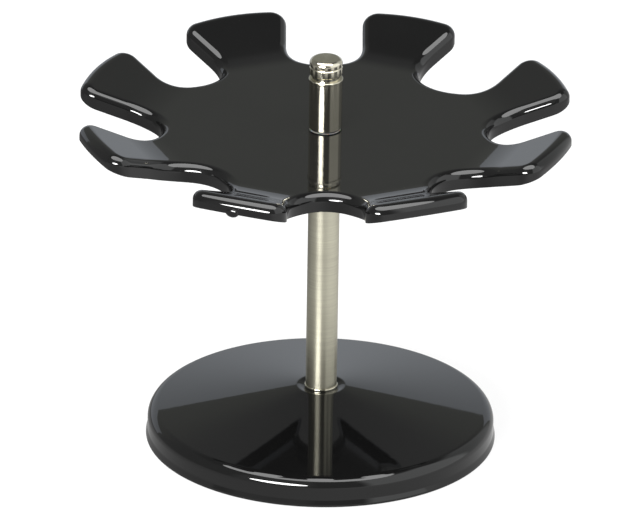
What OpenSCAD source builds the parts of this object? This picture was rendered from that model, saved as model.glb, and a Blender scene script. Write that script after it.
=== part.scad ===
// Desk carousel for hanging document stamps.
// A plate with turned-up arms spins on a post, over a weighted base, under a carrying handle.
// One long tie rod runs up the axis and clamps the base, the post and the handle together.
// The origin is on the table under the post, and Z points up. All lengths are in millimetres.

/* [Base] */
// Diameter of the base over its bottom bead
base_d = 111.5; // [96:0.5:130]
// How far the bottom bead stands out from the base's wall
bead_step = 0.5; // [0.3:0.1:1.2]
// Height of the bead's top edge above the table
bead_top_z = 2.3; // [2:0.1:4.5]
// Height at which the wall turns into the shoulder
wall_top_z = 5.9; // [5.5:0.1:9]
// Radius of the shoulder between the wall and the sloping top
shoulder_r = 4; // [3:0.1:6]
// Slope of the base's top, in degrees
dome_slope = 10; // [8:0.1:12]
// Thickness of the base cover
cover_t = 1.5; // [1:0.1:2]
// Gap under the cover's rim
cover_lift = 0.4; // [0.2:0.1:0.8]
// Radius of the dimple round the post's foot
dimple_r = 7.8; // [7:0.1:10]
// Depth of the dimple at its edge
dimple_depth = 0.4; // [0.3:0.1:1]
// Rounding at the edge of the dimple's floor
dimple_fillet = 1.2; // [1:0.1:1.8]
// How far the felt pad's edge lies inside the weight's
pad_inset = 1.4; // [0.2:0.1:10]
// Thickness of the felt pad
pad_t = 1.6; // [1:0.1:2.5]
// Thickness of the weight's disc
weight_t = 5; // [4:0.5:7]
// Radius of the boss that carries the post
boss_r = 11; // [10:0.5:14]
// Radius of the recess for the nut
recess_r = 7.5; // [7:0.1:8.5]

/* [Post] */
// Outside diameter of the post
post_d = 10; // [9.5:0.1:12]
// Wall of the post's tube
post_wall = 1; // [0.8:0.1:1.4]
// How far the foot ring stands out from the post
foot_step = 0.3; // [0.1:0.1:0.8]
// Thickness of the foot ring
foot_t = 0.8; // [0.5:0.1:1.5]
// Length of the plugs inside the tube's ends
plug_l = 8; // [5:0.5:15]
// Thickness of the upper plug's flange
plug_flange_t = 1.5; // [1:0.1:3]

/* [Carousel] */
// Diameter of the plate across its arms
plate_d = 159.5; // [150:0.5:170]
// Height of the plate's flat top above the table
plate_z = 107; // [80:1:130]
// Thickness of the plate
plate_t = 2; // [1.5:0.1:3]
// Thickness of the skirt that hangs from the plate's edge
skirt_t = 2; // [1.5:0.1:2.5]
// Depth of the skirt below the plate's top
skirt_h = 6.1; // [4:0.1:9]
// Radius of the rounded edge between the top and the skirt
crest_r = 3; // [1:0.1:3.2]
// Number of slots, and of arms between them
slots = 8; // [7:1:8]
// Width of an ordinary slot
slot_w = 24.5; // [20:0.5:26]
// Width of a wide slot, for a bigger stamp
wide_slot_w = 30; // [24:0.5:31]
// Which slot is the first wide one, counted counter-clockwise from 0 on the X axis
first_wide = 1; // [0:1:7]
// Number of slots from one wide slot to the next
wide_step = 4; // [2:1:8]
// Radius of the circle that the centres of the slots' round ends lie on
slot_circle_r = 64; // [62:0.5:66]
// Radius of an arm's outer corners
corner_r = 5; // [3.5:0.1:6]
// How far inside the ordinary slots' round ends the arms start to bend
bend_inset = 1; // [0:0.1:1.4]
// Length of the bend, measured outward
bend_l = 13; // [6:0.5:16]
// Angle of the turned-up tips, in degrees
tip_angle = 22; // [10:1:30]

/* [Bearing] */
// Outside diameter of the sleeve that the carousel turns on
bearing_d = 7; // [6.6:0.1:8]
// Running gap between the sleeve and the bush, on the radius
bearing_gap = 0.05; // [0.03:0.01:0.1]
// Free play above and below the carousel
end_play = 0.1; // [0.05:0.01:0.2]
// Diameter of the bush where it fills the plate's hole
bush_d = 10; // [9.5:0.1:12]
// Diameter of the bush's flange
bush_flange_d = 16; // [14:0.5:22]
// Thickness of the bush's flange
bush_flange_t = 1.5; // [1:0.1:3]
// Diameter of the thrust washer under the bush
lower_washer_d = 14; // [11:0.5:18]
// Thickness of the thrust washer under the bush
lower_washer_t = 0.8; // [0.5:0.1:1.5]
// Diameter of the thrust washer under the handle
upper_washer_d = 9.8; // [9:0.1:10.2]
// Thickness of the thrust washer under the handle
upper_washer_t = 0.5; // [0.3:0.1:1]

/* [Handle] */
// Diameter of the handle
handle_d = 10.5; // [10.2:0.1:13]
// Wall of the handle's sleeve
handle_wall = 1; // [0.8:0.1:1.4]
// Length of the sleeve's plain barrel
barrel_l = 15.9; // [12:0.1:30]
// How far the rim at the sleeve's top stands out
rim_step = 0.2; // [0.1:0.1:0.5]
// Height of the rim
rim_h = 1; // [0.6:0.1:2]
// Diameter of the neck under the cap
neck_d = 9.2; // [8.8:0.1:10]
// Height of the neck
neck_h = 1.4; // [1:0.1:3]
// Height of the cap's head
head_h = 5.3; // [5:0.1:10]
// Radius of the cap's rounded top edge
head_round_r = 1.5; // [1:0.1:2.2]
// Height of the fine groove above the head's underside
groove_z = 2.7; // [1.5:0.1:3]
// Width of the fine groove
groove_w = 0.3; // [0.2:0.1:0.5]
// Length of the cap's spigot inside the sleeve
spigot_l = 6; // [4:0.5:8]
// Length of the plug at the sleeve's bottom
handle_plug_l = 4; // [3:0.5:6]

/* [Fasteners] */
// Diameter of the tie rod
rod_d = 5; // [4.5:0.1:5.2]
// Length of the rod that shows below the nut
rod_tail = 1.2; // [0.5:0.1:2]
// How far the rod reaches above the underside of the cap's head
rod_reach = 1.5; // [0.5:0.1:2]
// Width of the nut across its flats
nut_af = 8; // [7:0.1:9]
// Thickness of the nut
nut_t = 4; // [3:0.1:5]
// Diameter of the flat washer
washer_d = 10; // [9:0.1:12]
// Thickness of the flat washer
washer_t = 1; // [0.5:0.1:1.5]
// Diameter of the spring washer
spring_washer_d = 9.2; // [8.5:0.1:11]
// Thickness of the spring washer
spring_washer_t = 1.2; // [0.8:0.1:1.6]

/* [Fits] */
// Gap between the rod and the pieces it passes through, on the radius
rod_gap = 0.1; // [0.05:0.01:0.2]
// Gap between the weight and the cover's wall
weight_gap = 0.3; // [0.2:0.1:1]
// Gap between the rod's ends and what covers them
end_gap = 0.4; // [0.2:0.1:1]

/* [Hidden] */

$fn = 96;

// Cuts run past the faces that they open by this much
past = 1;

// Base, from the table up
base_r = base_d / 2;
wall_r = base_r - bead_step;
shoulder_c = [wall_r - shoulder_r, wall_top_z];
function dome_z(r) = shoulder_c.y + shoulder_r / cos(dome_slope) + (shoulder_c.x - r) * tan(dome_slope);
seat_z = dome_z(dimple_r) - dimple_depth;
seat_r = dimple_r - dimple_fillet;
boss_z = seat_z - cover_t;
weight_r = wall_r - cover_t - weight_gap;
weight_top_z = pad_t + weight_t;
rod_hole_r = rod_d / 2 + rod_gap;

// The nut's stack hangs from the roof of the weight's recess
recess_z = pad_t + end_gap + rod_tail + nut_t + spring_washer_t + washer_t;
washer_z = recess_z - washer_t;
spring_washer_z = washer_z - spring_washer_t;
nut_z = spring_washer_z - nut_t;
rod_z = nut_z - rod_tail;

// Post and bearing, from the dimple up to the handle
post_r = post_d / 2;
post_bore_r = post_r - post_wall;
post_z = seat_z + foot_t;
bush_z = plate_z - plate_t - bush_flange_t;
lower_washer_z = bush_z - end_play - lower_washer_t;
flange_z = lower_washer_z - plug_flange_t;
bearing_r = bearing_d / 2;
bearing_bore_r = bearing_r + bearing_gap;
washer_bore_r = bearing_bore_r + bearing_gap;
upper_washer_z = plate_z + end_play;
handle_z = upper_washer_z + upper_washer_t;

// Handle
handle_r = handle_d / 2;
handle_bore_r = handle_r - handle_wall;
rim_z = handle_z + barrel_l;
rim_top_z = rim_z + rim_h;
head_z = rim_top_z + neck_h;
head_top_z = head_z + head_h;
rod_top_z = head_z + rod_reach;

// Carousel plate: points on each arc of its outline, and rings over its rounded edge
arc_steps = 8;
rim_steps = 2;
crest_steps = 6;
pitch = 360 / slots;
plate_r = plate_d / 2;
bend_start = slot_circle_r - slot_w / 2 - bend_inset;
bend_end = bend_start + bend_l;
bend_r = bend_l / sin(tip_angle);

// The rounded edge uses up no more than this share of the skirt's depth and of the arms' corners
round_share = 0.95;
edge_r = min(
    crest_r,
    round_share * skirt_h / (tan(tip_angle) + 1 / cos(tip_angle)),
    round_share * corner_r / (1 + sin(tip_angle))
);

function polar(r, a) = [r * cos(a), r * sin(a)];

// Point p mirrored in the line through the centre at angle a
function mirrored(p, a) = [p.x * cos(2 * a) + p.y * sin(2 * a), p.x * sin(2 * a) - p.y * cos(2 * a)];

function turned(p, a) = [p.x * cos(a) - p.y * sin(a), p.x * sin(a) + p.y * cos(a)];

// Radius of slot k's round end
function slot_r(k) = (k - first_wide) % wide_step == 0 ? wide_slot_w / 2 : slot_w / 2;

// Half of an arm's outline beside a slot on the X axis: slot end, straight side, outer corner, rim.
// Each entry is a point and the direction out of the plate there.
function half_outline(slot_r) =
    let (
        slot_c = [slot_circle_r, 0],
        corner_y = slot_r + corner_r,
        corner_c = [sqrt(pow(plate_r - corner_r, 2) - pow(corner_y, 2)), corner_y],
        corner_end = atan2(corner_c.y, corner_c.x)
    )
    concat(
        [for (i = [0:arc_steps])
            let (way = polar(1, 180 - 90 * i / arc_steps))
            [slot_c + slot_r * way, -way]],
        [for (i = [0:arc_steps])
            let (way = polar(1, -90 + (corner_end + 90) * i / arc_steps))
            [corner_c + corner_r * way, way]],
        [for (i = [1:rim_steps])
            let (way = polar(1, corner_end + (pitch / 2 - corner_end) * i / rim_steps))
            [plate_r * way, way]]
    );

half_n = 2 * (arc_steps + 1) + rim_steps;
arm_n = 2 * half_n - 2;
ring_n = slots * arm_n;

// Whole outline, counter-clockwise from where the last arm's side meets the first slot's middle.
// Each entry is a point, the direction out of the plate, and the direction along the arm.
outline = [
    for (arm = [0:slots - 1])
        let (
            near = half_outline(slot_r(arm)),
            far = half_outline(slot_r((arm + 1) % slots)),
            along = polar(1, (arm + 0.5) * pitch)
        )
        for (j = [0:arm_n - 1])
            let (entry = j < half_n ? near[j] : [for (v = far[arm_n - j]) mirrored(v, pitch / 2)])
            [turned(entry[0], arm * pitch), turned(entry[1], arm * pitch), along]
];

// Rise of the plate at distance a from the axis, measured along the arm
function rise(a) =
    a <= bend_start ? 0
    : a <= bend_end ? bend_r - sqrt(pow(bend_r, 2) - pow(a - bend_start, 2))
    : bend_r * (1 - cos(tip_angle)) + (a - bend_end) * tan(tip_angle);

// Slope of the plate at distance a from the axis
function slope(a) = asin(min(max(a - bend_start, 0), bend_l) / bend_r);

// Slope of the plate at point k of the outline, measured straight out over its edge
function edge_slope(k) =
    let (entry = outline[k])
    atan(tan(slope(entry[0] * entry[2])) * (entry[1] * entry[2]));

// Point k of the outline moved in by inset, at drop below the plate's own surface
function lowered(k, inset, drop) =
    let (entry = outline[k], flat = entry[0] - inset * entry[1])
    [flat.x, flat.y, plate_z + rise(flat * entry[2]) - drop];

function skirt_ring(inset, drop) = [for (k = [0:ring_n - 1]) lowered(k, inset, drop)];

// Ring at a share of the way over the rounded edge, from the skirt to where it meets the top
function crest_ring(share) = [for (k = [0:ring_n - 1])
    let (tilt = edge_slope(k), a = share * (90 + tilt))
    lowered(k, edge_r * (1 - cos(a)), edge_r * (1 / cos(tilt) + cos(a) * tan(tilt) - sin(a)))];

// Rings from the ceiling under the plate, round the skirt's lower edge, up and over to the top
plate_rings = concat(
    [skirt_ring(skirt_t, plate_t), skirt_ring(skirt_t, skirt_h), skirt_ring(0, skirt_h)],
    [for (i = [0:crest_steps]) crest_ring(i / crest_steps)]
);

// Flat middle, then a ladder of steps out along each arm, counter-clockwise from above
function cap_faces(first) = concat(
    [[for (arm = [0:slots - 1]) first + arm * arm_n]],
    [for (arm = [0:slots - 1], i = [0:half_n - 2], step = ladder_step(i))
        [for (j = step) first + (arm * arm_n + j) % ring_n]]
);

// Triangles between the arm's two sides from step i to the next one out
function ladder_step(i) = concat(
    [[i, i + 1, arm_n - i]],
    i < half_n - 2 ? [[i + 1, arm_n - i - 1, arm_n - i]] : []
);

function reversed(list) = [for (i = [len(list) - 1:-1:0]) list[i]];

module plate_skin() {
    side_faces = [for (r = [0:len(plate_rings) - 2], k = [0:ring_n - 1])
        let (a = r * ring_n + k, b = r * ring_n + (k + 1) % ring_n)
        each [[a, a + ring_n, b + ring_n], [a, b + ring_n, b]]];
    top_faces = [for (face = cap_faces((len(plate_rings) - 1) * ring_n)) reversed(face)];
    polyhedron(
        points = [for (r = plate_rings) each r],
        faces = concat(cap_faces(0), side_faces, top_faces)
    );
}

// Tube with its lower end at z
module ring_at(z, outer_r, inner_r, h) {
    translate([0, 0, z])
        difference() {
            cylinder(r = outer_r, h = h);
            translate([0, 0, -past])
                cylinder(r = inner_r, h = h + 2 * past);
        }
}

// Half section of the base's outside down to the table, moved in by inset
module dome_section(inset) {
    round_r = shoulder_r - inset;
    tangent = shoulder_c + round_r * [sin(dome_slope), cos(dome_slope)];
    polygon([
        [0, 0],
        [wall_r - inset, 0],
        [wall_r - inset, shoulder_c.y],
        shoulder_c,
        tangent,
        [0, dome_z(0) - inset / cos(dome_slope)],
    ]);
    intersection() {
        translate(shoulder_c)
            circle(r = round_r);
        translate(shoulder_c)
            square(round_r);
    }
}

// Half section of the dimple round the post, grown by grow
module dimple_section(grow) {
    fillet = dimple_fillet + grow;
    floor_z = seat_z - grow;
    translate([0, floor_z])
        square([seat_r, shoulder_r + fillet]);
    translate([seat_r, floor_z + fillet])
        intersection() {
            circle(r = fillet);
            translate([0, -fillet])
                square(fillet);
        }
    translate([seat_r - past, floor_z + fillet])
        square([fillet + past, shoulder_r]);
}

module base_pad() {
    color("#3b3b3d")
        cylinder(r = weight_r - pad_inset, h = pad_t);
}

module base_weight() {
    color("#55565a")
        rotate_extrude()
            polygon([
                [recess_r, pad_t],
                [weight_r, pad_t],
                [weight_r, weight_top_z],
                [boss_r, weight_top_z],
                [boss_r, recess_z + washer_t],
                [seat_r, boss_z],
                [rod_hole_r, boss_z],
                [rod_hole_r, recess_z],
                [recess_r, recess_z],
            ]);
}

module base_cover() {
    bead_c = [wall_r, bead_top_z - bead_step];
    color("#17181a")
        rotate_extrude()
            difference() {
                union() {
                    difference() {
                        dome_section(0);
                        dimple_section(0);
                        difference() {
                            dome_section(cover_t);
                            dimple_section(cover_t);
                        }
                    }
                    translate([wall_r - cover_t, 0])
                        square([cover_t + bead_step, bead_c.y]);
                    translate(bead_c)
                        intersection() {
                            circle(r = bead_step);
                            square(bead_step);
                        }
                }
                translate([0, -past])
                    square([base_r + past, cover_lift + past]);
                square([rod_hole_r, head_top_z]);
            }
}

module tie_rod() {
    color("#b9b7b0")
        translate([0, 0, rod_z])
            cylinder(d = rod_d, h = rod_top_z - rod_z);
}

module tie_rod_nut() {
    nut_r = nut_af / 2 / cos(30);
    chamfer = nut_r - nut_af / 2;
    color("#a5a6a8")
        difference() {
            intersection() {
                translate([0, 0, nut_z])
                    cylinder(r = nut_r, h = nut_t, $fn = 6);
                rotate_extrude()
                    polygon([
                        [0, nut_z],
                        [nut_af / 2, nut_z],
                        [nut_r + chamfer, nut_z + chamfer],
                        [nut_r + chamfer, nut_z + nut_t],
                        [0, nut_z + nut_t],
                    ]);
            }
            translate([0, 0, nut_z - past])
                cylinder(d = rod_d, h = nut_t + 2 * past);
        }
}

module spring_washer() {
    split_w = 0.8;
    color("#8f9092")
        difference() {
            ring_at(spring_washer_z, spring_washer_d / 2, rod_hole_r, spring_washer_t);
            translate([0, -split_w / 2, spring_washer_z - past])
                cube([spring_washer_d, split_w, spring_washer_t + 2 * past]);
        }
}

module flat_washer() {
    color("#a5a6a8")
        ring_at(washer_z, washer_d / 2, rod_hole_r, washer_t);
}

module foot_ring() {
    color("#c9c7c0")
        ring_at(seat_z, post_r + foot_step, rod_hole_r, foot_t);
}

module post_tube() {
    color("#b9b5a5")
        ring_at(post_z, post_r, post_bore_r, flange_z - post_z);
}

module lower_tube_plug() {
    color("#8d8e90")
        ring_at(post_z, post_bore_r, rod_hole_r, plug_l);
}

module upper_tube_plug() {
    color("#b9b5a5")
        difference() {
            union() {
                translate([0, 0, flange_z - plug_l])
                    cylinder(r = post_bore_r, h = plug_l);
                translate([0, 0, flange_z])
                    cylinder(r = post_r, h = plug_flange_t);
            }
            translate([0, 0, flange_z - plug_l - past])
                cylinder(r = rod_hole_r, h = plug_l + plug_flange_t + 2 * past);
        }
}

module lower_thrust_washer() {
    color("#e8e6df")
        ring_at(lower_washer_z, lower_washer_d / 2, washer_bore_r, lower_washer_t);
}

module bearing_sleeve() {
    color("#c4bd9f")
        ring_at(lower_washer_z, bearing_r, rod_hole_r, handle_z - lower_washer_z);
}

module hub_bush() {
    color("#e8e6df")
        difference() {
            union() {
                translate([0, 0, bush_z])
                    cylinder(d = bush_flange_d, h = bush_flange_t);
                translate([0, 0, bush_z])
                    cylinder(d = bush_d, h = plate_z - bush_z);
            }
            translate([0, 0, bush_z - past])
                cylinder(r = bearing_bore_r, h = plate_z - bush_z + 2 * past);
        }
}

module carousel_plate() {
    color("#17181a")
        difference() {
            plate_skin();
            translate([0, 0, bush_z])
                cylinder(d = bush_d, h = plate_z - bush_z + past);
        }
}

module upper_thrust_washer() {
    color("#101011")
        ring_at(upper_washer_z, upper_washer_d / 2, washer_bore_r, upper_washer_t);
}

module handle_plug() {
    color("#8d8e90")
        ring_at(handle_z, handle_bore_r, rod_hole_r, handle_plug_l);
}

module handle_sleeve() {
    color("#c9c7c0")
        difference() {
            union() {
                translate([0, 0, handle_z])
                    cylinder(r = handle_r, h = barrel_l + rim_h);
                translate([0, 0, rim_z])
                    cylinder(r = handle_r + rim_step, h = rim_h);
            }
            translate([0, 0, handle_z - past])
                cylinder(r = handle_bore_r, h = barrel_l + rim_h + 2 * past);
        }
}

module handle_cap() {
    spigot_z = rim_top_z - spigot_l;
    round_c = [handle_r - head_round_r, head_top_z - head_round_r];
    fine_z = head_z + groove_z;
    color("#c9c7c0")
        rotate_extrude()
            difference() {
                union() {
                    translate([0, spigot_z])
                        square([handle_bore_r, spigot_l]);
                    translate([0, rim_top_z])
                        square([neck_d / 2, neck_h]);
                    translate([0, head_z])
                        square([handle_r, head_h - head_round_r]);
                    translate([0, head_z])
                        square([round_c.x, head_h]);
                    translate(round_c)
                        intersection() {
                            circle(r = head_round_r);
                            square(head_round_r);
                        }
                }
                polygon([
                    [handle_r + groove_w, fine_z - groove_w],
                    [handle_r - groove_w, fine_z],
                    [handle_r + groove_w, fine_z + groove_w],
                ]);
                translate([0, spigot_z - past])
                    square([rod_d / 2, rod_top_z + end_gap - spigot_z + past]);
            }
}

base_pad();
base_weight();
base_cover();
tie_rod();
tie_rod_nut();
spring_washer();
flat_washer();
foot_ring();
post_tube();
lower_tube_plug();
upper_tube_plug();
lower_thrust_washer();
bearing_sleeve();
hub_bush();
carousel_plate();
upper_thrust_washer();
handle_plug();
handle_sleeve();
handle_cap();
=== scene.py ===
# %% [markdown]
# # A desk carousel for hanging stamps
#
# A glossy black plate with eight turned-up arms spins on a slim nickel post. The post stands on a
# heavy round base, and a short polished handle closes it at the top.
#
# The imported CAD model comes first. It is in metres and stays where it is: everything made here is
# built around it, in the same coordinates. The box of the CAD model is kept.

# %% Load the frame
import math

import bmesh
import bpy
import numpy as np
from mathutils import Matrix, Vector


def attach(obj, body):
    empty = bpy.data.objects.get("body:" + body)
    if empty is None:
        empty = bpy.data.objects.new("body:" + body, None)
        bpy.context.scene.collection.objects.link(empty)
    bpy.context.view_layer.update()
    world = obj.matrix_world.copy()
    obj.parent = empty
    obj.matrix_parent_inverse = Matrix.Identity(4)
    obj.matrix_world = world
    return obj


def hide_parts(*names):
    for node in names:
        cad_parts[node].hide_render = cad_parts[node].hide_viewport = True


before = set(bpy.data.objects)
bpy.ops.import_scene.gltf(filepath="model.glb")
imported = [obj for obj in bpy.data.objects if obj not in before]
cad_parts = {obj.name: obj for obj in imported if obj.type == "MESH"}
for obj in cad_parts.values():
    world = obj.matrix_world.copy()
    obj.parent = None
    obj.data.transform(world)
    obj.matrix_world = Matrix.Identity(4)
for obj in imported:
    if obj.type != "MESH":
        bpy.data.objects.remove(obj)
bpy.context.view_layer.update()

print("CAD nodes:", ", ".join(sorted(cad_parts)))

# %% [markdown]
# ## The camera
#
# The picture is taken from 25 degrees above with a very long lens, so the round shapes are nearly
# perfect ellipses. A short lens from close by would show the front of the base much larger than
# its back. The picture also leans a little to the right, which a small roll of the camera gives.
# The aim is moved sideways instead of shifting the lens, so that other views keep the model in
# their middle.

# %% Camera
MM = 0.001
scene = bpy.context.scene

elevation = math.radians(24.33)
turn = math.radians(-0.58)
roll = math.radians(0.9)
distance = 5002 * MM
aim_height = 62.5 * MM
aim_aside = -0.99 * MM
lens_length = 885
sensor_width = 36
farthest = 30

look = (Matrix.Rotation(turn, 4, "Z")
        @ Matrix.Rotation(math.pi / 2 - elevation, 4, "X")
        @ Matrix.Rotation(roll, 4, "Z"))
aim = Vector((0, 0, aim_height)) + look.col[0].to_3d() * aim_aside
camera = bpy.data.objects.new("photo_camera", bpy.data.cameras.new("photo_camera"))
camera.matrix_world = Matrix.Translation(aim + look.col[2].to_3d() * distance) @ look
camera.data.lens = lens_length
camera.data.sensor_width = sensor_width
camera.data.clip_end = farthest
scene.collection.objects.link(camera)
scene.camera = camera
scene.view_settings.view_transform = "Standard"
print("Camera at", [round(v, 3) for v in camera.location], "with a", lens_length, "mm lens")

# %% [markdown]
# ## Two small tools for materials
#
# Colours are picked as on a screen, in sRGB hex, but Blender calculates with linear light. One
# function turns the first into the second. The other adds a node: its settings are named as in
# Blender, and each socket gets a value, or a link when it is given another node's output.

# %% Colour and node tools
def linear(hex_colour):
    channels = [int(hex_colour[i:i + 2], 16) / 255 for i in (1, 3, 5)]
    return [c / 12.92 if c <= 0.04045 else ((c + 0.055) / 1.055) ** 2.4 for c in channels] + [1]


def add_node(tree, kind, sockets=None, **settings):
    node = tree.nodes.new(kind)
    for name, value in settings.items():
        setattr(node, name, value)
    for name, value in (sockets or {}).items():
        if isinstance(value, bpy.types.NodeSocket):
            tree.links.new(value, node.inputs[name])
        else:
            node.inputs[name].default_value = value
    return node


def start_material(name):
    material = bpy.data.materials.new(name)
    material.use_nodes = True
    material.node_tree.nodes.clear()
    tree = material.node_tree
    where = add_node(tree, "ShaderNodeTexCoord").outputs["Object"]
    return material, tree, where


def finish_material(tree, sockets):
    surface = add_node(tree, "ShaderNodeBsdfPrincipled", sockets).outputs["BSDF"]
    add_node(tree, "ShaderNodeOutputMaterial", {"Surface": surface})


print("Mid grey #808080 is", round(linear("#808080")[0], 3), "in linear light")

# %% [markdown]
# ## High-gloss black
#
# The plate and the base's cover are moulded from black ABS in a polished mould. The eye sees
# almost nothing of the plastic's own colour: it sees what the skin mirrors. A mirror-like plastic
# could be a clear coat over black, but the skin and the body are one material here, so one
# dielectric layer with a low roughness is closer to it.
#
# Such a skin is never flat. It keeps a faint orange peel with waves some 3 mm long and a few
# thousandths of a millimetre high, which makes reflected edges waver. Handling leaves very fine
# rubbed patches, which are seen only as slightly softer reflections.

# %% Gloss black material
gloss_black, tree, where = start_material("abs_gloss_black")
peel_wave = 3.2 * MM
peel_height = 0.004 * MM
rubbed_patch = 26 * MM
peel = add_node(tree, "ShaderNodeTexNoise",
                {"Vector": where, "Scale": 1 / peel_wave, "Detail": 1.5, "Roughness": 0.4})
peel_bump = add_node(tree, "ShaderNodeBump",
                     {"Height": peel.outputs["Fac"], "Distance": peel_height, "Strength": 1})
rubbed = add_node(tree, "ShaderNodeTexNoise",
                  {"Vector": where, "Scale": 1 / rubbed_patch, "Detail": 5, "Roughness": 0.62})
softness = add_node(tree, "ShaderNodeMapRange",
                    {"Value": rubbed.outputs["Fac"], "From Min": 0.35, "From Max": 0.75,
                     "To Min": 0.025, "To Max": 0.055})
tint = add_node(tree, "ShaderNodeMix",
                {"Factor": rubbed.outputs["Fac"], "A": linear("#0a0a0a"), "B": linear("#0e0e0e")},
                data_type="RGBA")
finish_material(tree, {"Base Color": tint.outputs["Result"],
                       "Roughness": softness.outputs["Result"],
                       "IOR": 1.52, "Normal": peel_bump.outputs["Normal"]})
print("Orange peel:", peel_wave / MM, "mm waves,", peel_height / MM, "mm high")

# %% [markdown]
# ## Brushed and polished nickel
#
# The post is a steel tube, finely brushed while it turns and then nickel plated. Its fine lines
# run round the tube. They spread a reflection up and down but hardly sideways, so every lamp
# becomes a long upright stripe. That is what an anisotropic metal does. Its tangent is laid round
# the Z axis, and the direction of the anisotropy is then rotated by a quarter turn.
#
# The real lines are some 0.05 mm apart, too fine for this picture, where a pixel covers 0.3 mm.
# They are drawn 0.4 mm apart, so that they just show. The noise that draws them is squeezed along
# Z and long round the tube.
#
# The handle and the foot ring are polished after turning: the same metal and the same lines, only
# much fainter. Metals keep the default IOR, because their colour already says how they reflect.

# %% Nickel materials
def turned_metal(name, light, dark, roughness, spread, line_gap, line_depth):
    material, tree, where = start_material(name)
    run = 9 * MM
    tone_patch = 15 * MM
    quarter_turn = 0.25
    squeezed = add_node(tree, "ShaderNodeMapping",
                        {"Vector": where, "Scale": (1 / run, 1 / run, 1 / line_gap)})
    lines = add_node(tree, "ShaderNodeTexNoise",
                     {"Vector": squeezed.outputs["Vector"], "Scale": 1, "Detail": 3,
                      "Roughness": 0.6})
    tone = add_node(tree, "ShaderNodeTexNoise",
                    {"Vector": where, "Scale": 1 / tone_patch, "Detail": 3})
    blend = add_node(tree, "ShaderNodeMath", {0: lines.outputs["Fac"], 1: tone.outputs["Fac"]},
                     operation="MULTIPLY")
    mixed = add_node(tree, "ShaderNodeMapRange",
                     {"Value": blend.outputs["Value"], "From Min": 0.1, "From Max": 0.42})
    colour = add_node(tree, "ShaderNodeMix",
                      {"Factor": mixed.outputs["Result"], "A": linear(dark), "B": linear(light)},
                      data_type="RGBA")
    rough = add_node(tree, "ShaderNodeMapRange",
                     {"Value": lines.outputs["Fac"], "From Min": 0.3, "From Max": 0.7,
                      "To Min": roughness * 0.97, "To Max": roughness * 1.03})
    bump = add_node(tree, "ShaderNodeBump",
                    {"Height": lines.outputs["Fac"], "Distance": line_depth, "Strength": 1})
    around = add_node(tree, "ShaderNodeTangent", direction_type="RADIAL", axis="Z")
    finish_material(tree, {"Base Color": colour.outputs["Result"], "Metallic": 1,
                           "Roughness": rough.outputs["Result"], "Anisotropic": spread,
                           "Anisotropic Rotation": quarter_turn,
                           "Tangent": around.outputs["Tangent"], "Normal": bump.outputs["Normal"]})
    return material


brushed_nickel = turned_metal("nickel_brushed", "#dad7c2", "#c8c4b1", roughness=0.29, spread=0.7,
                              line_gap=0.4 * MM, line_depth=0.0001 * MM)
polished_nickel = turned_metal("nickel_polished", "#dcd7c6", "#cbc6b3", roughness=0.13, spread=0.85,
                               line_gap=0.5 * MM, line_depth=0.00005 * MM)
print("Nickel:", brushed_nickel.name, "and", polished_nickel.name)

# %% [markdown]
# ## The materials underneath
#
# Seen from the side or from below, a few other things show: the nylon bush and washers that the
# plate turns on, and the felt that the base stands on. Inside are a brass sleeve, the plated rod
# with its nut and washers, two plugs of the same steel and the cast weight. Each material has a
# grain of its own, made with noise that changes the colour, the roughness and a little height.

# %% Bearing, steel, brass, iron and felt
def grained(name, light, dark, grain, depth, roughness, **constants):
    material, tree, where = start_material(name)
    noise = add_node(tree, "ShaderNodeTexNoise",
                     {"Vector": where, "Scale": 1 / grain, "Detail": 6, "Roughness": 0.6})
    colour = add_node(tree, "ShaderNodeMix",
                      {"Factor": noise.outputs["Fac"], "A": linear(dark), "B": linear(light)},
                      data_type="RGBA")
    rough = add_node(tree, "ShaderNodeMapRange",
                     {"Value": noise.outputs["Fac"], "From Min": 0.3, "From Max": 0.7,
                      "To Min": roughness[0], "To Max": roughness[1]})
    bump = add_node(tree, "ShaderNodeBump",
                    {"Height": noise.outputs["Fac"], "Distance": depth, "Strength": 1})
    sockets = {name.replace("_", " ").title(): value for name, value in constants.items()}
    finish_material(tree, {"Base Color": colour.outputs["Result"],
                           "Roughness": rough.outputs["Result"],
                           "Normal": bump.outputs["Normal"], **sockets})
    return material


white_nylon = grained("nylon_natural", "#ece9e0", "#dedbd0", 0.8 * MM, 0.004 * MM, (0.38, 0.5),
                      subsurface_weight=0.15, subsurface_scale=1 * MM)
black_nylon = grained("nylon_black", "#191919", "#0e0e0e", 0.6 * MM, 0.004 * MM, (0.4, 0.55))
plated_steel = grained("steel_zinc_plated", "#c3c5c8", "#a4a6aa", 1.2 * MM, 0.002 * MM,
                       (0.22, 0.4), metallic=1)
brass = grained("brass_turned", "#d9c588", "#bfa767", 1.5 * MM, 0.001 * MM, (0.15, 0.3), metallic=1)
cast_iron = grained("iron_cast", "#55565a", "#3c3d40", 0.9 * MM, 0.12 * MM, (0.6, 0.85), metallic=1)
grey_felt = grained("felt_grey", "#4c4c4f", "#29292b", 0.35 * MM, 0.15 * MM, (0.85, 1),
                    sheen_weight=0.35, sheen_roughness=0.5)
print("Six more materials, each with its own grain")

# %% [markdown]
# ## A lathe
#
# The base, the foot ring, the post and the handle are turned or moulded round, so each is one
# profile spun round the Z axis. Real edges are never razor sharp: a corner rounded by only 0.2 mm
# catches a thin line of light, and without it metal looks like paper. So a profile is given as
# corners, each with a radius, and one function puts in the arcs. Blender's bevel modifier could
# round them too, but only after the spin, with less say over each edge.

# %% Lathe tools
nearly_straight = math.radians(89.5)
sharp_from = math.radians(32)
same_point = 0.0005 * MM


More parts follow.
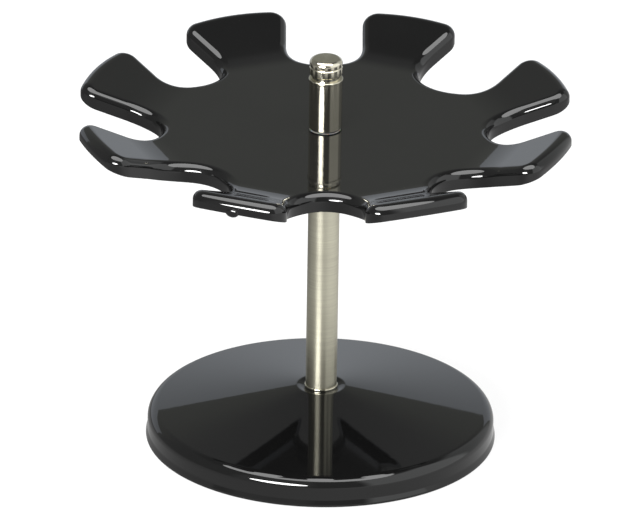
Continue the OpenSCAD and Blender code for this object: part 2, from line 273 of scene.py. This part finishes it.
def rounded(corners, step=6):
    """Closed profile in mm from corners (radius, height, rounding), with an arc at each corner."""
    profile = []
    for k, (r, z, rounding) in enumerate(corners):
        here = np.array([r, z], float)
        before = np.array(corners[k - 1][:2]) - here
        after = np.array(corners[(k + 1) % len(corners)][:2]) - here
        before, after = before / np.linalg.norm(before), after / np.linalg.norm(after)
        half = math.acos(max(-1, min(1, float(before @ after)))) / 2
        if rounding == 0 or half > nearly_straight:
            profile.append(tuple(here))
            continue
        middle = before + after
        centre = here + middle / np.linalg.norm(middle) * rounding / math.sin(half)
        first = here + before * rounding / math.tan(half) - centre
        sweep = math.pi - 2 * half
        if first[0] * (here - centre)[1] - first[1] * (here - centre)[0] < 0:
            sweep = -sweep
        count = max(2, round(abs(math.degrees(sweep)) / step))
        for i in range(count + 1):
            a = sweep * i / count
            profile.append((centre[0] + first[0] * math.cos(a) - first[1] * math.sin(a),
                            centre[1] + first[0] * math.sin(a) + first[1] * math.cos(a)))
    return profile


def make_piece(name, points, faces, material):
    """Object from points in mm, with outward faces and shading that follows the larger faces."""
    mesh = bpy.data.meshes.new(name)
    mesh.from_pydata([[c * MM for c in p] for p in points], [], faces)
    work = bmesh.new()
    work.from_mesh(mesh)
    bmesh.ops.remove_doubles(work, verts=work.verts, dist=same_point)
    bmesh.ops.recalc_face_normals(work, faces=work.faces)
    for edge in work.edges:
        edge.smooth = edge.calc_face_angle(0) < sharp_from
    work.to_mesh(mesh)
    work.free()
    mesh.shade_smooth()
    mesh.materials.append(material)
    piece = bpy.data.objects.new(name, mesh)
    scene.collection.objects.link(piece)
    piece.modifiers.new("even_shading", "WEIGHTED_NORMAL").keep_sharp = True
    return piece


def spin(name, profile, material, steps=192):
    """Closed profile of (radius, height) in mm, spun round the Z axis."""
    count = len(profile)
    points = [(r * math.cos(a), r * math.sin(a), z)
              for a in np.linspace(0, 2 * math.pi, steps, endpoint=False) for r, z in profile]
    faces = [(s * count + k, (s + 1) % steps * count + k,
              (s + 1) % steps * count + (k + 1) % count, s * count + (k + 1) % count)
             for s in range(steps) for k in range(count)]
    return make_piece(name, points, faces, material)


print("A 90 degree corner becomes", len(rounded([(0, 0, 0), (1, 0, 0.2), (1, 1, 0)])) - 2, "points")

# %% [markdown]
# ## The base's cover
#
# The cover is a shell 1.5 mm thick. From the table up it has a low bead that flares out a little,
# a short upright wall, a rounded shoulder and a top that slopes up to the post by 10 degrees.
# Round the post's foot the top dips into a shallow dimple. The shoulder draws the bright lines
# that run round the base, and the bead is seen mostly in the outline.

# %% Base cover
base_radius = 55.75
bead_step = 0.5
bead_top = 2.3
wall_radius = base_radius - bead_step
shoulder_radius = 4
shoulder_height = 5.9
slope = math.radians(10)
cover_thickness = 1.5
cover_lift = 0.4
dimple_radius = 7.8
dimple_depth = 0.4
rod_hole = 2.6


def dome_height(r, inset=0):
    """Height of the sloping top at radius r, or of its inner face with an inset."""
    at_shoulder = shoulder_height + (shoulder_radius - inset) / math.cos(slope)
    return at_shoulder + (wall_radius - shoulder_radius - r) * math.tan(slope)


seat = dome_height(dimple_radius) - dimple_depth
dimple_floor = dimple_radius - 1.8
dimple_edge = dimple_radius - 0.2
dimple_rounding = 3
dimple_under = dimple_radius + 0.6
inner_wall = wall_radius - cover_thickness
cover_corners = [
    (rod_hole, seat, 0),
    (dimple_floor, seat, dimple_rounding),
    (dimple_edge, dome_height(dimple_edge), dimple_rounding),
    (wall_radius, dome_height(wall_radius), shoulder_radius),
    (wall_radius, bead_top + 0.5, 2.5),
    (base_radius, bead_top - 1.3, 1.2),
    (base_radius, cover_lift, 0.2),
    (inner_wall, cover_lift, 0.3),
    (inner_wall, dome_height(inner_wall, cover_thickness), shoulder_radius - cover_thickness),
    (dimple_under, dome_height(dimple_under, cover_thickness), 0),
    (dimple_radius - 1, seat - cover_thickness, 0),
    (rod_hole, seat - cover_thickness, 0),
]
base_shell = spin("base_shell", rounded(cover_corners, step=4), gloss_black, steps=320)
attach(base_shell, "stand")
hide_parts("base_cover")
print("Base cover: post seat", round(seat, 2), "mm above the table,",
      len(base_shell.data.polygons), "faces")

# %% [markdown]
# ## The foot ring and the handle
#
# The foot ring is a thin polished collar that hides the joint between the post and the base. The
# handle is a sleeve with a fine raised rim at its top. Above it a short neck carries a head with a
# soft shoulder and one fine groove. They are spun with the lathe, with small roundings, because
# most of what is seen of them is the light on their edges.

# %% Foot ring and handle
post_radius = 5
foot_thickness = 0.8
foot_corners = [
    (rod_hole, seat, 0),
    (post_radius + 0.3, seat, 0.15),
    (post_radius + 0.3, seat + foot_thickness, 0.3),
    (rod_hole, seat + foot_thickness, 0),
]
handle_radius = 5.25
handle_bore = 4.25
handle_bottom = 107.6
barrel_length = 15.9
rim_step = 0.2
rim_height = 1
neck_radius = 4.6
neck_height = 1.4
head_height = 5.3
head_rounding = 1.5
groove_height = 2.7
groove_depth = 0.3
spigot_length = 6
rod_radius = 2.5
near_axis = 0.02
rim_bottom = handle_bottom + barrel_length
rim_top = rim_bottom + rim_height
head_bottom = rim_top + neck_height
head_top = head_bottom + head_height
groove = head_bottom + groove_height
bore_floor = head_bottom + 1.9
sleeve_corners = [
    (handle_bore, handle_bottom, 0),
    (handle_radius, handle_bottom, 0.08),
    (handle_radius, rim_bottom, 0.1),
    (handle_radius + rim_step, rim_bottom, 0.1),
    (handle_radius + rim_step, rim_top, 0.3),
    (handle_bore, rim_top, 0),
]
head_corners = [
    (rod_radius, rim_top - spigot_length, 0),
    (handle_bore, rim_top - spigot_length, 0),
    (handle_bore, rim_top, 0),
    (neck_radius, rim_top, 0),
    (neck_radius, head_bottom, 0.3),
    (handle_radius, head_bottom, 0.35),
    (handle_radius, groove - groove_depth, 0.08),
    (handle_radius - groove_depth, groove, 0.05),
    (handle_radius, groove + groove_depth, 0.08),
    (handle_radius, head_top, head_rounding),
    (near_axis, head_top, 0),
    (near_axis, bore_floor, 0),
    (rod_radius, bore_floor, 0),
]
turned_pieces = [
    ("foot_collar", foot_corners, "foot_ring"),
    ("handle_barrel", sleeve_corners, "handle_sleeve"),
    ("handle_head", head_corners, "handle_cap"),
]
for name, corners, node in turned_pieces:
    piece = spin(name, rounded(corners), polished_nickel)
    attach(piece, "stand")
    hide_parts(node)
    print(name, "replaces", node)

# %% [markdown]
# ## The carousel plate
#
# Seen from above the plate is a disc with eight slots open at the rim. Two opposite slots are
# wider, for bigger stamps. Between the slots are eight arms with round corners. Each arm is flat
# near the middle, bends up over 13 mm and ends in a straight tip. A skirt hangs down all round,
# and a soft rounding joins it to the top.
#
# A subdivision surface would make such a form quickly, but it would guess the arcs. Here every
# point is calculated instead: first the outline from arcs, then rings of points that follow it
# over the rounded edge, and a grid that fills the top of each arm. Each point's height comes from
# the bend at its distance along the arm, so the curve stays exact and the gloss shows no dents.

# %% The plate's outline
plate_radius = 79.75
plate_height = 107
plate_thickness = 2
skirt_thickness = 2
skirt_depth = 6.1
edge_rounding = 3
slot_count = 8
slot_radius = 12.25
wide_slot_radius = 15
wide_slots = (1, 5)
slot_circle = 64
arm_corner = 5
bend_start = slot_circle - slot_radius - 1
bend_length = 13
tip_angle = math.radians(22)
bend_radius = bend_length / math.sin(tip_angle)
pitch = 2 * math.pi / slot_count


def way(angle):
    return np.array([math.cos(angle), math.sin(angle)])


def half_arm(radius, slot_steps=26, side_steps=5, corner_steps=12, rim_steps=9):
    """Points beside a slot on the X axis, each with the direction out of the plate."""
    beside = radius + arm_corner
    corner = np.array([math.sqrt((plate_radius - arm_corner) ** 2 - beside ** 2), beside])
    end = math.atan2(corner[1], corner[0])
    side = np.linspace(slot_circle, corner[0], side_steps + 2)[1:-1]
    slot = [way(a) for a in np.linspace(math.pi, math.pi / 2, slot_steps)]
    turn_out = [way(a) for a in np.linspace(-math.pi / 2, end, corner_steps)]
    rim = [way(a) for a in np.linspace(end, pitch / 2, rim_steps + 1)[1:]]
    return ([(np.array([slot_circle, 0]) + radius * w, -w) for w in slot]
            + [(np.array([x, radius]), np.array([0, -1])) for x in side]
            + [(corner + arm_corner * w, w) for w in turn_out]
            + [(plate_radius * w, w) for w in rim])


def slot_radius_of(k):
    return wide_slot_radius if k % slot_count in wide_slots else slot_radius


outline = []
for arm in range(slot_count):
    near, far = half_arm(slot_radius_of(arm)), half_arm(slot_radius_of(arm + 1))
    c, s = math.cos(pitch), math.sin(pitch)
    mirror = np.array([[c, s], [s, -c]])
    mirrored = [(mirror @ p, mirror @ w) for p, w in far[-2:0:-1]]
    c, s = math.cos(arm * pitch), math.sin(arm * pitch)
    rotate = np.array([[c, -s], [s, c]])
    along = way((arm + 0.5) * pitch)
    outline += [(rotate @ p, rotate @ w, along) for p, w in near + mirrored]
edge_point, edge_way, arm_way = (np.array(column) for column in zip(*outline))
half_count = len(half_arm(slot_radius))
arm_count = 2 * half_count - 2
ring_count = len(outline)
print("Outline:", ring_count, "points, slots", 2 * slot_radius, "and", 2 * wide_slot_radius,
      "mm wide")

# %% [markdown]
# The plate's height along an arm is flat, then an arc, then a straight slope. A ring is the
# outline moved inward and dropped below that surface. Where the plate rises towards its edge the
# rounding has to turn further than a quarter circle, and where it falls a little less. So each
# point's slope across the edge is worked out first.

# %% Rings over the plate's edge
def rise(a):
    in_bend = np.clip(a - bend_start, 0, bend_length)
    beyond = np.maximum(a - bend_start - bend_length, 0)
    return bend_radius - np.sqrt(bend_radius ** 2 - in_bend ** 2) + beyond * math.tan(tip_angle)


def ring(inset, drop):
    flat = edge_point - np.asarray(inset).reshape(-1, 1) * edge_way
    height = plate_height + rise((flat * arm_way).sum(1)) - drop
    return np.column_stack([flat, height])


reach = (edge_point * arm_way).sum(1)
arm_slope = np.arcsin(np.clip(reach - bend_start, 0, bend_length) / bend_radius)
tilt = np.arctan(np.tan(arm_slope) * (edge_way * arm_way).sum(1))


def crest(share):
    a = share * (math.pi / 2 + tilt)
    inset = edge_rounding * (1 - np.cos(a))
    drop = edge_rounding * (1 / np.cos(tilt) + np.cos(a) * np.tan(tilt) - np.sin(a))
    return inset, drop


inner_rounding = 1
lip_rounding = 0.45
quarter = np.radians([0, 30, 60, 90])
inside = [(skirt_thickness + inner_rounding * (1 - math.sin(a)),
           plate_thickness + inner_rounding * (1 - math.cos(a))) for a in quarter]
lip_in = [(skirt_thickness - lip_rounding * (1 - math.cos(a)),
           skirt_depth - lip_rounding * (1 - math.sin(a))) for a in quarter]
lip_out = [(lip_rounding * (1 - math.sin(a)),
            skirt_depth - lip_rounding * (1 - math.cos(a))) for a in quarter]
below_crest = 0.15
wall_top = (0, crest(0)[1] + below_crest)
crest_steps = 18
over = [crest(k / crest_steps) for k in range(crest_steps + 1)]
rings = [ring(*place) for place in inside + lip_in + lip_out + [wall_top] + over]
print(len(rings), "rings; the tips slope by", round(math.degrees(tilt.max()), 1), "degrees")

# %% [markdown]
# The rings give the skirt and the edge. What is left are the top and the ceiling: on each arm rows
# of points run from one side to the other, and in the middle loops shrink to the hole that the
# bush sits in. The ceiling is the same grid, one plate thickness lower.

# %% Fill the top and the ceiling
columns = 14
hub_loops = 5
hub_hole = 5
loop_crowding = 0.7
points = [tuple(p) for one in rings for p in one]
faces = []
for r in range(len(rings) - 1):
    for k in range(ring_count):
        a, b = r * ring_count + k, r * ring_count + (k + 1) % ring_count
        faces.append((a, b, b + ring_count, a + ring_count))


def fill(first, sunk):
    """Grids across the arms and loops down to the hub's hole; returns the loop of the hole."""
    middle = []
    for arm in range(slot_count):
        rows = []
        for i in range(half_count):
            a = first + arm * arm_count + i
            b = first + (arm * arm_count + arm_count - i) % ring_count
            row = [a]
            if i < half_count - 1:
                start, stop = np.array(points[a][:2]), np.array(points[b][:2])
                for m in range(1, columns):
                    spot = start + (stop - start) * m / columns
                    height = float(plate_height + rise(spot @ way((arm + 0.5) * pitch)) - sunk)
                    row.append(len(points))
                    points.append((*spot, height))
                row.append(b)
            rows.append(row)
        for low, high in zip(rows[:-2], rows[1:-1]):
            faces.extend((low[m], low[m + 1], high[m + 1], high[m]) for m in range(columns))
        faces.extend((rows[-2][m], rows[-2][m + 1], rows[-1][0]) for m in range(columns))
        middle += rows[0][:-1]
    loop = middle
    for step in range(1, hub_loops + 1):
        share = (step / hub_loops) ** loop_crowding
        inner = []
        for k in middle:
            x, y = points[k][:2]
            radius = math.hypot(x, y)
            shrunk = (radius + (hub_hole - radius) * share) / radius
            inner.append(len(points))
            points.append((x * shrunk, y * shrunk, plate_height - sunk))
        faces.extend((loop[k], loop[(k + 1) % len(loop)], inner[(k + 1) % len(loop)], inner[k])
                     for k in range(len(loop)))
        loop = inner
    return loop


top_hole = fill((len(rings) - 1) * ring_count, 0)
ceiling_hole = fill(0, plate_thickness)
count = len(top_hole)
for k in range(count):
    after = (k + 1) % count
    faces.append((top_hole[k], top_hole[after], ceiling_hole[after], ceiling_hole[k]))
plate = make_piece("stamp_plate", points, faces, gloss_black)
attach(plate, "carousel")
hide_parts("carousel_plate")
print("Plate:", len(plate.data.vertices), "points and", len(plate.data.polygons), "faces")

# %% [markdown]
# On one arm the moulding left a small nub, where the plastic was fed in. It is a squashed ball,
# half sunk into the outside of the skirt near its lower edge. The ball is drawn in rows from its
# top to its bottom, moved out to the skirt and turned to its arm.

# %% Moulding nub
nub_bearing = math.radians(248.3)
nub_depth, nub_width, nub_height = 1.4, 4.4, 3
nub_rows = 9
nub_around = 20
nub_out = plate_radius - 0.2
nub_level = plate_height + rise(plate_radius) - skirt_depth + 0.4
c, s = way(nub_bearing)
nub_points = []
for row in range(1, nub_rows + 1):
    down = math.pi * row / (nub_rows + 1)
    for k in range(nub_around):
        a = 2 * math.pi * k / nub_around
        x = nub_out + nub_depth / 2 * math.sin(down) * math.cos(a)
        y = nub_width / 2 * math.sin(down) * math.sin(a)
        z = nub_level + nub_height / 2 * math.cos(down)
        nub_points.append((x * c - y * s, x * s + y * c, z))
last_row = (nub_rows - 1) * nub_around
nub_faces = []
for first in range(0, last_row, nub_around):
    for k in range(nub_around):
        a, b = first + k, first + (k + 1) % nub_around
        nub_faces.append((a, a + nub_around, b + nub_around, b))
nub_faces += [tuple(range(nub_around)), tuple(range(last_row, last_row + nub_around))]
nub = make_piece("moulding_nub", nub_points, nub_faces, gloss_black)
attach(nub, "carousel")
print("Nub:", nub_width, "mm wide on the skirt's edge")

# %% [markdown]
# ## The pieces that stay as the CAD made them
#
# The tube, the plugs, the washers, the bush, the rod and the weight already have their true
# shapes, so they only get their materials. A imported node's object carries one material slot,
# which is simply filled with another material.

# %% Materials on the CAD nodes
node_materials = {
    "post_tube": brushed_nickel, "upper_tube_plug": brushed_nickel,
    "hub_bush": white_nylon, "lower_thrust_washer": white_nylon,
    "upper_thrust_washer": black_nylon, "bearing_sleeve": brass,
    "tie_rod": plated_steel, "tie_rod_nut": plated_steel, "spring_washer": plated_steel,
    "flat_washer": plated_steel, "lower_tube_plug": plated_steel, "handle_plug": plated_steel,
    "base_weight": cast_iron, "base_pad": grey_felt,
    "base_cover": gloss_black, "carousel_plate": gloss_black, "foot_ring": polished_nickel,
    "handle_sleeve": polished_nickel, "handle_cap": polished_nickel,
}
for name, material in node_materials.items():
    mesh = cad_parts[name].data
    mesh.materials.clear()
    mesh.materials.append(material)
print(len(node_materials), "CAD nodes have their materials")

# %% [markdown]
# ## The studio
#
# A black gloss object is lit by what it mirrors, so the lamps are placed as mirror images, not for
# brightness. A broad soft box hangs overhead and a little in front: the rounded edges of the plate
# draw it as a grey band. A small bright window stands low at the front left: it makes the white
# glints and the long stripes on the nickel. Both are oval, so that their reflections end softly.

# %% Lamps
def add_lamp(name, shape, place, size, brightness, colour=(1, 1, 1)):
    """Area lamp that the camera doesn't see; its brightness is that of its lit face."""
    lamp = bpy.data.lights.new(name, "AREA")
    lamp.shape = shape
    lamp.size, lamp.size_y = size
    face = size[0] * size[1] * (math.pi / 4 if shape == "ELLIPSE" else 1)
    lamp.energy = brightness * math.pi * face
    lamp.color = colour
    box = bpy.data.objects.new(name, lamp)
    box.location = place
    box.visible_camera = False
    scene.collection.objects.link(box)
    return box


def soft_box(name, place, size, brightness):
    """Oval lamp that faces the model."""
    box = add_lamp(name, "ELLIPSE", place, size, brightness)
    box.rotation_euler = (box.location - model_middle).to_track_quat("Z", "Y").to_euler()


model_middle = Vector((0, 0, 0.06))
overhead_brightness = 5
window_brightness = 48
soft_box("overhead_box", (-0.06, -0.17, 1.24), (1.7, 1.08), overhead_brightness)
soft_box("window", (-0.52, -1.01, 0.43), (0.8, 0.3), window_brightness)
print("Two lamps of", overhead_brightness, "and", window_brightness, "times white")

# %% [markdown]
# Low down behind stands a cool, pale wall. It greys the back of the base and the side arms where
# they bend up, and its upper edge draws the sharp border across both. The base sees that edge at
# 25 degrees, but the plate, which is higher, at only 17: so the wall has to stand close by, and is
# a lamp with a place and a size instead of a part of the far room.

# %% Rear wall
rear_width, rear_height = 1.24, 0.304
rear_distance = 0.62
rear_aside = -0.17
rear_wall = add_lamp("rear_wall", "RECTANGLE", (rear_aside, rear_distance, rear_height / 2),
                     (rear_width, rear_height), brightness=0.45, colour=(0.81, 0.87, 1))
rear_wall.rotation_euler = (math.radians(-90), 0, 0)
print("Rear wall:", rear_width, "by", rear_height, "m")

# %% [markdown]
# The room around them is grey, with paler walls at the right and at the front left, and a darker
# ceiling towards the back. They are windows in bearing and height on the world background, so that
# they are far away: a bearing of 0 is straight behind, and 90 is to the right.

# %% The room around
def window(tree, value, span, softness):
    """1 where the value lies within the span, with soft ends."""
    start, stop = span
    soft = softness / 2
    into = add_node(tree, "ShaderNodeMapRange",
                    {"Value": value, "From Min": start - soft, "From Max": start + soft},
                    interpolation_type="SMOOTHSTEP")
    out_of = add_node(tree, "ShaderNodeMapRange",
                      {"Value": value, "From Min": stop + soft, "From Max": stop - soft},
                      interpolation_type="SMOOTHSTEP")
    both = add_node(tree, "ShaderNodeMath",
                    {0: into.outputs["Result"], 1: out_of.outputs["Result"]}, operation="MULTIPLY")
    return both.outputs["Value"]


def in_degrees(tree, operation, *values):
    angle = add_node(tree, "ShaderNodeMath", dict(enumerate(values)), operation=operation)
    return add_node(tree, "ShaderNodeMath", {0: angle.outputs["Value"]},
                    operation="DEGREES").outputs["Value"]


room_level = (0.21, 0.212, 0.21)
walls = [
    # bearings, softness, heights, softness, light that the wall adds or takes away
    ((-52, 36), 12, (-20, 34), 10, (0.04, 0.045, 0.03)),
    ((-90, 90), 30, (48, 90), 10, (-0.08, -0.08, -0.08)),
    ((36, 72), 10, (-20, 46), 8, (0.37, 0.38, 0.38)),
    ((72, 149), 10, (-20, 57), 8, (1.1, 1.12, 1.12)),
    ((-174, -122), 12, (-20, 58), 8, (0.16, 0.16, 0.16)),
]
world = bpy.data.worlds.new("grey_room")
world.use_nodes = True
world.node_tree.nodes.clear()
tree = world.node_tree
toward = add_node(tree, "ShaderNodeTexCoord").outputs["Generated"]
axes = add_node(tree, "ShaderNodeSeparateXYZ", {"Vector": toward}).outputs
bearing = in_degrees(tree, "ARCTAN2", axes["X"], axes["Y"])
height = in_degrees(tree, "ARCSINE", axes["Z"])
light = room_level
for bearings, side_softness, heights, top_softness, colour in walls:
    beside = window(tree, bearing, bearings, side_softness)
    within = window(tree, height, heights, top_softness)
    amount = add_node(tree, "ShaderNodeMath", {0: beside, 1: within}, operation="MULTIPLY")
    light = add_node(tree, "ShaderNodeVectorMath",
                     {0: amount.outputs["Value"], 1: colour, 2: light},
                     operation="MULTIPLY_ADD").outputs["Vector"]
back = add_node(tree, "ShaderNodeBackground", {"Color": light})
add_node(tree, "ShaderNodeOutputWorld", {"Surface": back.outputs["Background"]})
scene.world = world
print("Room:", len(walls), "walls over a level of", room_level)

# %% [markdown]
# The floor is plain white paper. The picture shows it white and nearly without shadow, yet the
# gloss mirrors a greyer floor, because the picture is exposed for the black parts. So the paper
# glows white towards the camera and is greyer for mirrored rays. For these it is lightest in front
# and at the right: each direction adds a light that goes from its first value to its second.

# %% Floor
floor_half = 15
front_light = (0.3, 0.55)
right_light = (-0.12, 0.3)
corners = [(-1, -1), (1, -1), (1, 1), (-1, 1)]
floor_mesh = bpy.data.meshes.new("pale_floor")
floor_points = [(x * floor_half, y * floor_half, 0) for x, y in corners]
floor_mesh.from_pydata(floor_points, [], [(0, 1, 2, 3)])
floor = bpy.data.objects.new("pale_floor", floor_mesh)
scene.collection.objects.link(floor)
paper, tree, where = start_material("floor_paper")
axes = add_node(tree, "ShaderNodeSeparateXYZ", {"Vector": where}).outputs
to_front = add_node(tree, "ShaderNodeMapRange",
                    {"Value": axes["Y"], "From Min": 0.2, "From Max": -0.1,
                     "To Min": front_light[0], "To Max": front_light[1]},
                    interpolation_type="SMOOTHSTEP")
to_right = add_node(tree, "ShaderNodeMapRange",
                    {"Value": axes["X"], "From Min": -0.12, "From Max": 0.15,
                     "To Min": right_light[0], "To Max": right_light[1]},
                    interpolation_type="SMOOTHSTEP")
mirrored = add_node(tree, "ShaderNodeMath",
                    {0: to_front.outputs["Result"], 1: to_right.outputs["Result"]}, operation="ADD")
glow = add_node(tree, "ShaderNodeEmission", {"Strength": mirrored.outputs["Value"]})
seen = add_node(tree, "ShaderNodeBsdfPrincipled",
                {"Base Color": linear("#707070"), "Roughness": 0.9, "Specular IOR Level": 0,
                 "Emission Color": linear("#ffffff"), "Emission Strength": 0.85})
ray = add_node(tree, "ShaderNodeLightPath")
either = add_node(tree, "ShaderNodeMixShader",
                  {0: ray.outputs["Is Camera Ray"], 1: glow.outputs["Emission"],
                   2: seen.outputs["BSDF"]})
add_node(tree, "ShaderNodeOutputMaterial", {"Surface": either.outputs["Shader"]})
floor_mesh.materials.append(paper)
print("Floor:", 2 * floor_half, "m wide")
